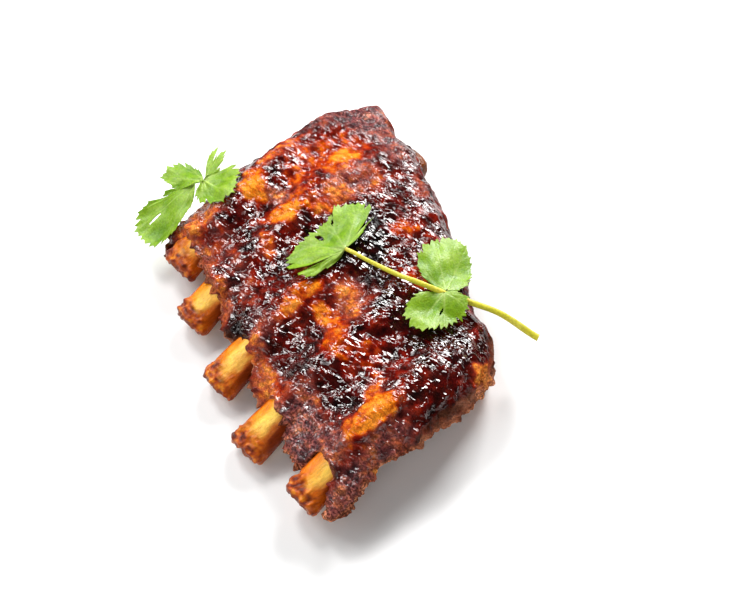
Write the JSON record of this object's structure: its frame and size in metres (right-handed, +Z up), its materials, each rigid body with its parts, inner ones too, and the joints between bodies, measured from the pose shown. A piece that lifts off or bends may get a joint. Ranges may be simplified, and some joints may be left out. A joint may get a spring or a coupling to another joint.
{
  "type": "rack of ribs",
  "caption": "Short rack of glazed pork back ribs with a browned crust, bone tips showing along one edge, topped with two sprigs of fresh coriander.",
  "frame": {"origin": "on the surface that the rack rests on, under the middle of its bounding box", "axes": "+X along the rack across the bones, from the far end to the near end; +Y along the bones, from their free tips to the thick loin edge; +Z up, out of the glazed side"},
  "size_m": [0.161, 0.1168, 0.0361],
  "materials": {
    "meat": "glossy",
    "bone": "satin",
    "leaf": "matte"
  },
  "bodies": {
    "root": {"meat": "meat", "bone_1": "bone", "bone_2": "bone", "bone_3": "bone", "bone_4": "bone", "bone_5": "bone", "sprig_long": "leaf", "sprig_short": "leaf"}
  },
  "joints": []
}
